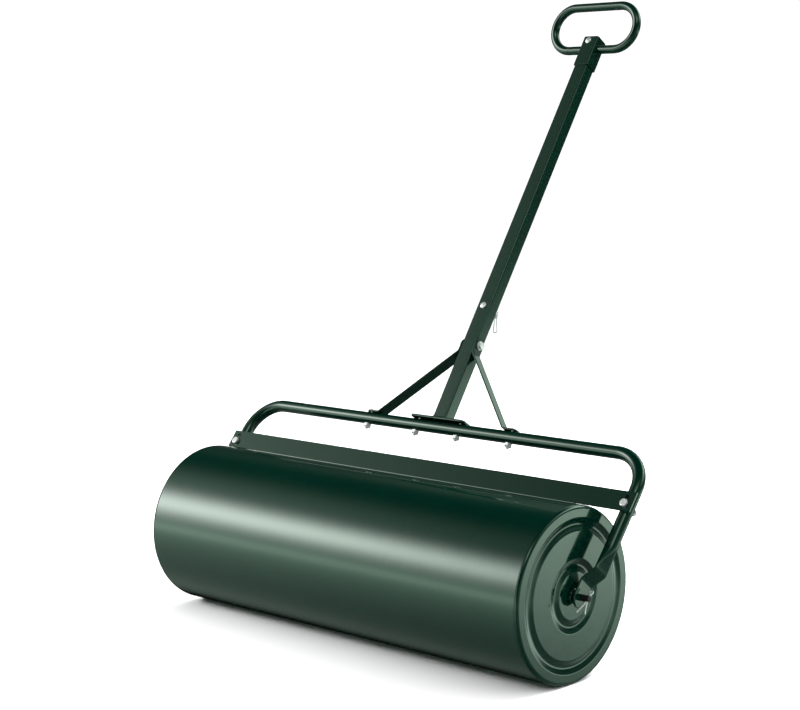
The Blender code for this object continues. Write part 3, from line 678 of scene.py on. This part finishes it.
def make_filler():
    boss = [(-0.0020, 0.0155), (-0.0020, 0.0190), (-0.0014, 0.0195), (0.012, 0.0195), (0.012, 0.0150),
            (-0.0010, 0.0150)]
    here = Matrix.Translation(PLUG_PLACE)
    piece("filler_boss_fine", lathe(boss, 72, closed=True), here, "drum", "green_paint",
          ("filler_boss",))
    gasket = [(-0.0043, 0.0148), (-0.0043, 0.0182), (-0.0038, 0.0186), (-0.0028, 0.0186),
              (-0.0023, 0.0182), (-0.0023, 0.0148)]
    piece("filler_gasket_fine", lathe(gasket, 72, closed=True), here, "filler_plug", "black_rubber",
          ("filler_gasket",))
    sides = 144
    rings = []

    def lobed(x, radius, depth):
        ring = []
        for i in range(sides):
            a = 2 * math.pi * i / sides
            r = radius - depth * max(math.cos(a * 18), -0.2) ** 2 if depth else radius
            ring.append((x, r * math.cos(a), r * math.sin(a)))
        return ring

    rings.append([(-0.0106, 0, 0)])
    rings += [lobed(-0.0106, r, 0) for r in (0.006, 0.0105)]
    rings += [lobed(-0.0116, 0.0112, 0), lobed(-0.0116, 0.0155, 0),
              lobed(-0.0113, 0.0168, 0.0005), lobed(-0.0103, 0.0178, 0.0011),
              lobed(-0.0060, 0.0184, 0.0013), lobed(-0.0054, 0.0185, 0)]
    rings += [lobed(-0.0046, 0.0185, 0), lobed(-0.0046, 0.0140, 0)]
    for k in range(6):
        x = -0.0040 + k * 0.0018
        rings += [lobed(x, 0.0131, 0), lobed(x + 0.0005, 0.0142, 0), lobed(x + 0.0009, 0.0142, 0),
                  lobed(x + 0.0014, 0.0131, 0)]
    rings += [lobed(0.0072, 0.0125, 0), [(0.0072, 0, 0)]]
    piece("filler_plug_fine", skin(rings), here, "filler_plug", "black_plastic", ("filler_plug",), 30)


# ---- axle ----------------------------------------------------------------------------------
AXLE_RADIUS = 0.0058
SPLIT_PIN_WIRE = 0.0013
SPLIT_PIN_SETBACK = 0.0035


def split_pin_path():
    """Up one splayed leg, round the eye and down the other, in the local XZ plane."""
    spread = SPLIT_PIN_WIRE * 0.98
    reach = AXLE_RADIUS + 0.0035
    leg = [(0.0085, -AXLE_RADIUS - 0.0225), (0.0062, -AXLE_RADIUS - 0.0172),
           (0.0042, -AXLE_RADIUS - 0.0112), (0.0027, -AXLE_RADIUS - 0.0060),
           (0.0018, -AXLE_RADIUS - 0.0028), (spread, -AXLE_RADIUS - 0.0006), (spread, reach)]
    eye = arc(0, reach + 0.0036, 0.0029, -52, 232, 20)
    other = [(-x, z) for x, z in reversed(leg)]
    return [(x, 0, z) for x, z in leg + eye + other]


def make_axle():
    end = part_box("axle")[1].x
    ease = 0.0012
    tip = [(end - 0.0014, AXLE_RADIUS), (end - 0.0014 + ease * 0.5, AXLE_RADIUS - ease * 0.25),
           (end, AXLE_RADIUS - ease), (end, 0)]
    bar = [(-x, r) for x, r in reversed(tip)] + tip
    piece("axle_fine", lathe(bar, 64), DRUM, "frame", "black_steel", ("axle",))
    tilt = Matrix.Rotation(-math.radians(45), 4, "X")
    for side, tag in ((1, "right"), (-1, "left")):
        here = DRUM @ shift(side * (end - SPLIT_PIN_SETBACK), 0, 0) @ tilt
        piece(f"split_pin_{tag}_fine", wire(split_pin_path(), SPLIT_PIN_WIRE, 14), here, "frame",
              "zinc_plate", (f"split_pin_{tag}",))
        low, high = (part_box(f"thrust_washer_{tag}")[k].x for k in (0, 1))
        ring = [(low, 0.0063), (low, 0.0126), (low + 0.0004, 0.0130), (high - 0.0004, 0.0130),
                (high, 0.0126), (high, 0.0063)]
        piece(f"thrust_washer_{tag}_fine", lathe(ring, 64, closed=True), DRUM, "frame",
              "black_steel", (f"thrust_washer_{tag}",))


# ---- yoke and scraper bar ------------------------------------------------------------------
def smooth_step(t):
    t = min(max(t, 0.0), 1.0)
    return t * t * (3 - 2 * t)


def yoke_section(distance, z):
    """Half width, half thickness and squareness of the yoke's section."""
    ease = smooth_step((z - JOGGLE_TOP) / (CRUSH_TOP - JOGGLE_TOP))
    wide = TAB_HALF_WIDTH + (TUBE_RADIUS - TAB_HALF_WIDTH) * ease
    thick = TAB_HALF_THICKNESS + (TUBE_RADIUS - TAB_HALF_THICKNESS) * ease
    if distance < TAB_HALF_WIDTH:
        back = TAB_HALF_WIDTH - distance
        wide = math.sqrt(max(TAB_HALF_WIDTH ** 2 - back ** 2, 1e-8))
    return wide, thick, 0.32 + 0.68 * ease


def make_yoke():
    arm_x = YOKE_WIDTH / 2
    tab_x = HALF_LENGTH + TAB_STANDOFF
    corners = [(tab_x, -TAB_HALF_WIDTH), (tab_x, TAB_TOP), (arm_x, JOGGLE_TOP), (arm_x, YOKE_REACH),
               (0.0, YOKE_REACH)]
    path = rounded_path(corners, (0.008, 0.008, YOKE_BEND), 16)
    tip = [TAB_HALF_WIDTH * (1 - math.cos(math.pi / 2 * i / 14)) for i in range(1, 15)]
    crush = [TAB_HALF_WIDTH + JOGGLE_TOP + i * 0.003 for i in range(0, 22)]
    marks, _ = along(path, tip + crush)
    right = [(p, d) for p, d in marks if d > 0.0001]
    points = [p for p, _ in right] + [Vector((-p.x, p.y)) for p, _ in reversed(right[:-1])]
    distances = [d for _, d in right] + [d for _, d in reversed(right[:-1])]
    rings = []
    sides = 48
    for i, (p, d) in enumerate(zip(points, distances)):
        tangent, stretch = mitre(points, i)
        across = Vector((tangent.y, 0, -tangent.x)) * stretch
        wide, thick, power = yoke_section(d, p.y)
        ring = []
        for k in range(sides):
            a = 2 * math.pi * k / sides
            c, s = math.cos(a), math.sin(a)
            w = wide * math.copysign(abs(c) ** power, c)
            t = thick * math.copysign(abs(s) ** power, s)
            ring.append(Vector((p.x, 0, p.y)) + across * t + Vector((0, w, 0)))
        rings.append(ring)
    piece("yoke_fine", skin(rings), YOKE, "frame", "green_paint", ("yoke",), 38)


def make_scraper():
    front = -BAR_FACE - BAR_THICKNESS
    ease = 0.0006
    bend = (front + LIP_BEND, BAR_BOTTOM)
    thin = LIP_BEND - BAR_THICKNESS
    profile = arc(front + ease, BAR_TOP - ease, ease, 90, 180, 4)
    profile += arc(*bend, LIP_BEND, 180, 262, 12)
    profile += arc(bend[0], BAR_BOTTOM - LIP_BEND + ease, ease, 285, 360, 3)
    profile += arc(*bend, thin, 270, 180, 6)
    profile += arc(-BAR_FACE - ease, BAR_TOP - ease, ease, 0, 90, 4)
    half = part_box("scraper_bar")[1].x
    spots = [-half, -half + ease] + [-half + 0.05 * i for i in range(1, 20)] + [half - ease, half]
    rings = []
    for x in sorted(spots):
        rings.append([(x, y, z) for y, z in profile])
    bar = piece("scraper_bar_fine", skin(rings), YOKE, "scraper", "green_paint", ("scraper_bar",), 38)
    cutters = []
    for side, near in ((1, LIP_RIGHT), (-1, -LIP_LEFT)):
        far = half + 0.01
        low_z, high_z = BAR_BOTTOM - 0.02, BAR_BOTTOM
        outline = [(side * near, low_z), (side * far, low_z), (side * far, high_z),
                   (side * (near + 0.004), high_z), (side * near, high_z - 0.004)]
        cutters.append(skin([[(x, y, z) for x, z in outline] for y in (-0.04, 0.01)]))
        slot = arc(0, SLOT_ABOVE - BOLT_HOLE, BOLT_HOLE, 0, 180, 16)
        slot += arc(0, -SLOT_BELOW + BOLT_HOLE, BOLT_HOLE, 180, 360, 16)
        cutters.append(skin([[(side * BAR_BOLT_X + x, y, BAR_BOLT_Z + z) for x, z in slot]
                             for y in (-0.03, 0.0)]))
    carve(bar, cutters, YOKE)
    grip = 2 * TUBE_RADIUS + BAR_THICKNESS + 2 * GAP
    for side, tag in ((1, "right"), (-1, "left")):
        fasten(f"scraper_{tag}", YOKE, (side * BAR_BOLT_X, front, BAR_BOLT_Z), grip,
               turned("X", 90), "hex")


# ---- handle --------------------------------------------------------------------------------
def make_base():
    def outline(inset):
        return rounded_rectangle(BASE_LENGTH / 2 - inset, BASE_WIDTH / 2 - inset, 0.008 - inset, 10)

    piece("base_plate_fine", slab(outline, BASE_BOTTOM, BASE_TOP), HANDLE, "frame", "green_paint",
          ("base_plate",))
    half_x, half_y = POST_WIDTH / 2, POST_DEPTH / 2
    bead = []
    count = 200
    ring = rounded_rectangle(half_x, half_y, POST_CORNER, 12)
    for i in range(count):
        at = i / count * len(ring)
        a, b = ring[int(at) % len(ring)], ring[(int(at) + 1) % len(ring)]
        f = at - int(at)
        bead.append((a[0] + (b[0] - a[0]) * f, a[1] + (b[1] - a[1]) * f + POST_SETBACK,
                     BASE_TOP + 0.0009))
    piece("post_weld", weld_bead(bead, 0.0021), HANDLE, "frame", "green_paint", (), 60)


def weld_bead(points, radius):
    """A closed weld bead along a path, with the ripple of its passes."""
    path = [Vector(p) for p in points]
    marks = [0.0]
    for a, b in zip(path, path[1:] + path[:1]):
        marks.append(marks[-1] + (b - a).length)
    total = marks[-1]
    samples = int(total / 0.0006)
    rings = []
    k = 0
    for i in range(samples):
        d = total * i / samples
        while marks[k + 1] < d:
            k += 1
        a, b = path[k], path[(k + 1) % len(path)]
        here = a.lerp(b, (d - marks[k]) / max(marks[k + 1] - marks[k], 1e-9))
        tangent = (b - a).normalized()
        out = tangent.cross(Vector((0, 0, 1))).normalized()
        ripple = 1 + 0.14 * math.sin(2 * math.pi * d / 0.0028)
        rings.append([here + (out * math.cos(u) + Vector((0, 0, 1)) * math.sin(u)) * radius * ripple
                      for u in [2 * math.pi * n / 12 for n in range(12)]])
    return skin(rings, closed=True)


def make_post():
    half_x, half_y = POST_WIDTH / 2, POST_DEPTH / 2
    here = HANDLE @ shift(0, POST_SETBACK, 0)
    for name, low, high in (("lower_post", BASE_TOP + GAP, SEAM_HEIGHT - 0.00025),
                            ("upper_pole", SEAM_HEIGHT - 0.0001, POLE_TOP)):
        piece(f"{name}_fine", box_tube(half_x, half_y, POST_WALL, POST_CORNER, low, high), here,
              "frame", "green_paint", (name,), 30)


def brace_rows():
    half = BRACE_WIDTH / 2
    tab_x = POST_WIDTH / 2 + GAP + BRACE_THICKNESS / 2
    foot_z = TUBE_RADIUS + GAP + BRACE_THICKNESS / 2
    corners = [(tab_x, BRACE_TOP), (tab_x, BRACE_BEND_HEIGHT), (BRACE_FOOT_START, foot_z),
               (BRACE_FOOT_END, foot_z)]
    path = rounded_path(corners, (0.006, 0.006), 8)
    _, total = along(path)
    tip = [half * (1 - math.cos(math.pi / 2 * i / 12)) for i in range(1, 13)]
    marks, _ = along(path, tip + [total - d for d in tip])
    rows = []
    for p, d in marks:
        near = min(d, total - d)
        if near < 1e-6:
            continue
        wide = half if near >= half else math.sqrt(half ** 2 - (half - near) ** 2)
        rows.append((p, wide))
    return rows


def make_braces():
    rows = brace_rows()
    for side, tag in ((1, "right"), (-1, "left")):
        points = [Vector((side * p.x, p.y)) for p, _ in rows]
        rings = []
        for i, (p, (_, wide)) in enumerate(zip(points, rows)):
            tangent, stretch = mitre(points, i)
            across = Vector((tangent.y, 0, -tangent.x))
            ease = min(0.0006, wide * 0.8)
            section = rounded_rectangle(BRACE_THICKNESS / 2, wide, ease, 2)
            ring = [Vector((p.x, BRACE_SETBACK, p.y)) + across * (t * stretch) + Vector((0, w, 0))
                    for t, w in section]
            rings.append(ring)
        piece(f"brace_{tag}_fine", skin(rings), HANDLE, "frame", "green_paint", (f"brace_{tag}",), 38)


def make_handle_fasteners():
    level = Matrix.Identity(4)
    for side, tag in ((1, "right"), (-1, "left")):
        fasten(f"brace_foot_{tag}", HANDLE, (side * BRACE_FOOT_BOLT_X, 0, FOOT_TOP),
               FOOT_TOP + TUBE_RADIUS + GAP, level, "round")
        fasten(f"base_{tag}", HANDLE, (side * BASE_BOLT_X, 0, BASE_TOP),
               BASE_TOP + TUBE_RADIUS + GAP, level, "round")
    reach = POST_WIDTH / 2 + GAP + BRACE_THICKNESS
    low, high = reach + GAP, reach + GAP + BRACE_WASHER_THICKNESS
    washer = [(low, 0.0041), (low, 0.0086), (low + 0.0003, 0.0088), (high - 0.0003, 0.0088),
              (high, 0.0085), (high, 0.0041)]
    piece("brace_top_washer_fine", lathe(washer, 72, closed=True),
          HANDLE @ shift(0, BRACE_SETBACK, BRACE_BOLT_HEIGHT), "frame", "zinc_plate",
          ("brace_top_washer",))
    fasten("brace_top", HANDLE, (high, BRACE_SETBACK, BRACE_BOLT_HEIGHT), high + reach,
           turned("Y", 90), "hex")


def make_socket():
    half_x = POST_WIDTH / 2 + GAP + SOCKET_WALL
    half_y = POST_DEPTH / 2 + GAP + SOCKET_WALL
    socket = piece("handle_socket_fine",
                   box_tube(half_x, half_y, SOCKET_WALL, 0.0035, SOCKET_BOTTOM, SOCKET_TOP, 0.0005),
                   HANDLE @ shift(0, POST_SETBACK, 0), "frame", "green_paint", ("handle_socket",), 30)
    hole = drill(LOOP_TUBE + 0.0004, 0.03, 64)
    carve(socket, [hole], HANDLE @ shift(0, POST_SETBACK, LOOP_HEIGHT))
    fasten("socket", HANDLE, (SOCKET_BOLT_X, POST_SETBACK - half_y, SOCKET_BOLT_Z), 2 * half_y,
           turned("X", 90), "round")


def make_loop():
    straight = LOOP_HALF_LENGTH - LOOP_HALF_WIDTH
    steps = 12
    bottom = [(-straight + 2 * straight * i / steps, 0) for i in range(1, steps)]
    top = [(straight - 2 * straight * i / steps, 2 * LOOP_HALF_WIDTH) for i in range(1, steps)]
    right = arc(straight, LOOP_HALF_WIDTH, LOOP_HALF_WIDTH, -90, 90, 40)
    left = arc(-straight, LOOP_HALF_WIDTH, LOOP_HALF_WIDTH, 90, 270, 40)
    path = [(x, 0, z) for x, z in bottom + right + top + left]
    piece("loop_handle_fine", wire(path, LOOP_TUBE, 40, closed=True), LOOP, "handle_loop",
          "green_paint", ("loop_handle",))


def make_pin():
    front = POST_DEPTH / 2 + GAP
    reach = POST_DEPTH + PIN_TAIL
    profile = [(-0.0040, 0), (-0.0040, 0.0022), (-0.0036, 0.0030), (-0.0037, 0.0040),
               (-0.0030, 0.0058), (-0.0022, 0.0065), (-0.0014, 0.0066), (-0.0002, 0.0066),
               (0, 0.0062), (0, PIN_RADIUS), (reach - 0.0014, PIN_RADIUS),
               (reach - 0.0005, 0.0034), (reach, 0.0024), (reach, 0)]
    turn = turned("Z", 90)
    piece("hitch_pin_fine", lathe(profile, 64), HANDLE @ shift(0, POST_SETBACK - front, PIN_HEIGHT),
          "hitch_pin", "zinc_plate", ("hitch_pin",), 30, turn)
    down = CLIP_DOWN
    back = -POST_FRONT
    side = back.cross(-down).normalized()
    turn = Matrix((side, back, -down)).transposed().to_4x4()
    here = Matrix.Translation(CLIP_PLACE) @ turn
    wire_radius = 0.0010
    loop = 0.0042
    low = -0.0405 + loop
    bow = PIN_RADIUS + wire_radius + 0.0004
    path = [(0, 0.0085), (0, 0.0040), (0, 0), (0, low * 0.5), (0, low)]
    path += arc(loop, low, loop, 180, 360, 20)[1:]
    path += [(2 * loop - 0.0006, low + 0.006), (0.0062, -0.0200), (0.0054, -0.0120),
             (0.0053, -0.0095), (0.0050, -0.0070), (0.0051, -0.0035), (bow + 0.0003, 0.0),
             (bow, 0.0028), (bow + 0.0006, 0.0048), (bow + 0.0018, 0.0066)]
    piece("r_clip_fine", wire([(x, 0, z) for x, z in path], wire_radius, 14), here, "r_clip",
          "zinc_plate", ("r_clip",))


# ---- stage, light and camera ---------------------------------------------------------------
# Light that has bounced about the studio, as against the main soft box's white.
BOUNCE_TINT = (0.80, 1.0, 0.87, 1.0)
# The studio's walls: brightness at the horizon, and the angle over which it dies away upwards.
WALL_GLOW = 0.05
WALL_FADE = math.radians(12)
# The pale floor as gloss sees it: brightness far off, the angle over which it dies away towards
# the roller's feet, and the angles between which its far edge fades into the walls.
FLOOR_GLOW = 2.7
FLOOR_FADE = math.radians(21)
FLOOR_EDGE = (math.radians(3), math.radians(-7))
# How much lower that edge lies on the right, and by how much the floor is dimmer there.
RIGHT_DROP = math.radians(5)
RIGHT_DIM = 0.74
# The floor is in the roller's shade behind its left end: the way there, and where it begins and ends.
SHADE_WAY = (-0.6, 0.8)
SHADE_EDGE = (0.85, 0.45)
# Soft boxes, the main one first: heading left of -Y, elevation, half widths across and up
# (degrees), brightness.
SOFT_BOXES = ((51, 19.5, 17, 11.0, 10.6), (70, 34, 20, 15, 0.82), (48, 1, 45, 8, 1.8),
              (-35, 50, 45, 11, 1.0), (-45, 46, 14, 9, 4.0), (-112, -1, 14, 6, 1.0),
              (-80, 5, 25, 10, 0.7), (-143, -11, 30, 4.5, 2.4), (-130, -45, 60, 22, 0.12),
              (-156, 31, 36, 11, 4.5), (178, 8, 17, 8, 1.2))
BACKDROP = 1.1                # white that only the camera sees
# Lamps: watts, and the fill sun's strength.
FRONT_BOX = 72.0
BACK_BOX = 300.0
SIDE_BOX = 14.0
FILL = 3.38
# The photo's camera.
CAMERA_PLACE = (2.241, -2.385, 0.900)
CAMERA_DOWN = 6.2475          # degrees below level
CAMERA_HEADING = 42.558
CAMERA_LENS = 81.55
CAMERA_SHIFT = (0.0045, -0.0131)


def make_stage():
    bm = bmesh.new()
    bmesh.ops.create_grid(bm, x_segments=8, y_segments=8, size=5.5)
    mesh = bpy.data.meshes.new("floor")
    bm.to_mesh(mesh)
    bm.free()
    mesh.materials.append(floor_white())
    floor = bpy.data.objects.new("floor", mesh)
    bpy.context.scene.collection.objects.link(floor)
    floor.visible_glossy = False


def make_world():
    """A dark studio with soft boxes, behind a white backdrop that only the camera sees."""
    world = bpy.data.worlds.new("studio")
    bpy.context.scene.world = world
    world.use_nodes = True
    tree = world.node_tree

    def calc(operation, first, second=None):
        node = tree.nodes.new("ShaderNodeMath")
        node.operation = operation
        for socket, value in zip(node.inputs, (first, second)):
            if value is None:
                continue
            if isinstance(value, (int, float)):
                socket.default_value = value
            else:
                tree.links.new(value, socket)
        return node.outputs["Value"]

    split = tree.nodes.new("ShaderNodeSeparateXYZ")
    tree.links.new(tree.nodes.new("ShaderNodeTexCoord").outputs["Generated"], split.inputs["Vector"])
    x, y, z = split.outputs
    heading = calc("ARCTAN2", calc("MULTIPLY", x, -1.0), calc("MULTIPLY", y, -1.0))
    height = calc("ARCSINE", z)

    def fade(value, low, high):
        """Ease from 0 where value is low to 1 where it is high."""
        ease = tree.nodes.new("ShaderNodeMapRange")
        ease.interpolation_type = "SMOOTHSTEP"
        ease.inputs["From Min"].default_value = low
        ease.inputs["From Max"].default_value = high
        tree.links.new(value, ease.inputs["Value"])
        return ease.outputs["Result"]

    right = fade(x, 0.1, 0.5)
    low = calc("ADD", height, calc("MULTIPLY", right, RIGHT_DROP))
    wall = calc("EXPONENT", calc("MULTIPLY", calc("MAXIMUM", height, 0.0), -1 / WALL_FADE))
    floor = calc("EXPONENT", calc("MULTIPLY", calc("MINIMUM", height, 0.0), 1 / FLOOR_FADE))
    shade = calc("ADD", calc("MULTIPLY", x, SHADE_WAY[0]), calc("MULTIPLY", y, SHADE_WAY[1]))
    floor = calc("MULTIPLY", floor, fade(shade, *SHADE_EDGE))
    floor = calc("MULTIPLY", floor, calc("SUBTRACT", 1.0, calc("MULTIPLY", right, RIGHT_DIM)))
    below = fade(low, *FLOOR_EDGE)
    total = calc("ADD",
                 calc("MULTIPLY", calc("MULTIPLY", wall, WALL_GLOW), calc("SUBTRACT", 1.0, below)),
                 calc("MULTIPLY", calc("MULTIPLY", floor, FLOOR_GLOW), below))
    glows = []
    for at, up, wide, tall, peak in SOFT_BOXES:
        turn = calc("PINGPONG", calc("SUBTRACT", heading, math.radians(at)), math.pi)
        off = calc("DIVIDE", turn, math.radians(wide))
        rise = calc("DIVIDE", calc("SUBTRACT", height, math.radians(up)), math.radians(tall))
        square = calc("ADD", calc("MULTIPLY", off, off), calc("MULTIPLY", rise, rise))
        glows.append(calc("MULTIPLY", calc("EXPONENT", calc("MULTIPLY", square, -1.0)), peak))
    for glow in glows[1:]:
        total = calc("ADD", total, glow)
    path = tree.nodes.new("ShaderNodeLightPath").outputs
    main = calc("ADD", calc("MULTIPLY", glows[0], path["Is Glossy Ray"]),
                calc("MULTIPLY", path["Is Camera Ray"], BACKDROP))
    back = tree.nodes["Background"]
    back.inputs["Color"].default_value = (1, 1, 1, 1)
    tree.links.new(main, back.inputs["Strength"])
    tinted = tree.nodes.new("ShaderNodeBackground")
    tinted.inputs["Color"].default_value = BOUNCE_TINT
    tree.links.new(calc("MULTIPLY", total, path["Is Glossy Ray"]), tinted.inputs["Strength"])
    both = tree.nodes.new("ShaderNodeAddShader")
    tree.links.new(back.outputs["Background"], both.inputs[0])
    tree.links.new(tinted.outputs["Background"], both.inputs[1])
    tree.links.new(both.outputs["Shader"], tree.nodes["World Output"].inputs["Surface"])


def make_lamp(name, kind, energy, location, target, size=None):
    """A lamp that lights surfaces without showing in their gloss, which the world's boxes do."""
    data = bpy.data.lights.new(name, kind)
    data.energy = energy
    if kind == "AREA":
        data.shape = "RECTANGLE"
        data.size, data.size_y = size
    else:
        data.angle = size
    lamp = bpy.data.objects.new(name, data)
    bpy.context.scene.collection.objects.link(lamp)
    lamp.location = location
    aim = Vector(target) - Vector(location)
    lamp.rotation_euler = aim.to_track_quat("-Z", "Y").to_euler()
    lamp.visible_glossy = False


def make_lights():
    make_lamp("front_box", "AREA", FRONT_BOX, (-2.0, -1.6, 1.3), (0, 0, 0.15), (1.4, 0.7))
    make_lamp("back_box", "AREA", BACK_BOX, (0.5, 2.4, 2.6), (0.4, 1.4, 0), (3.0, 3.0))
    make_lamp("side_box", "AREA", SIDE_BOX, (2.2, 0.6, 1.0), (0.45, 0, 0.2), (1.2, 1.2))
    make_lamp("fill", "SUN", FILL, (0, 0, 5), (0, 0, 0), math.radians(120))


def make_camera():
    data = bpy.data.cameras.new("camera")
    data.sensor_width = 36.0
    data.lens = CAMERA_LENS
    data.shift_x, data.shift_y = CAMERA_SHIFT
    data.clip_start, data.clip_end = 0.05, 200
    camera = bpy.data.objects.new("camera", data)
    bpy.context.scene.collection.objects.link(camera)
    camera.location = CAMERA_PLACE
    camera.rotation_euler = (math.radians(90 - CAMERA_DOWN), 0, math.radians(CAMERA_HEADING))
    bpy.context.scene.camera = camera


def dress_cad_nodes():
    """Carried-over CAD nodes take the same materials as the new pieces."""
    slots = {part["node"]: part["material_slot"] for part in frame["record"]["subparts"]}
    for name, node in frame["nodes"].items():
        material = SLOTS[slots[name]]
        if node.material_slots:
            for held in node.material_slots:
                held.material = material
        else:
            node.data.materials.append(material)


dress_cad_nodes()
make_drum()
make_filler()
make_axle()
make_yoke()
make_scraper()
make_base()
make_post()
make_braces()
make_handle_fasteners()
make_socket()
make_loop()
make_pin()
keep_faces_flat()
make_stage()
make_world()
make_lights()
make_camera()
bpy.context.scene.view_settings.view_transform = "Standard"
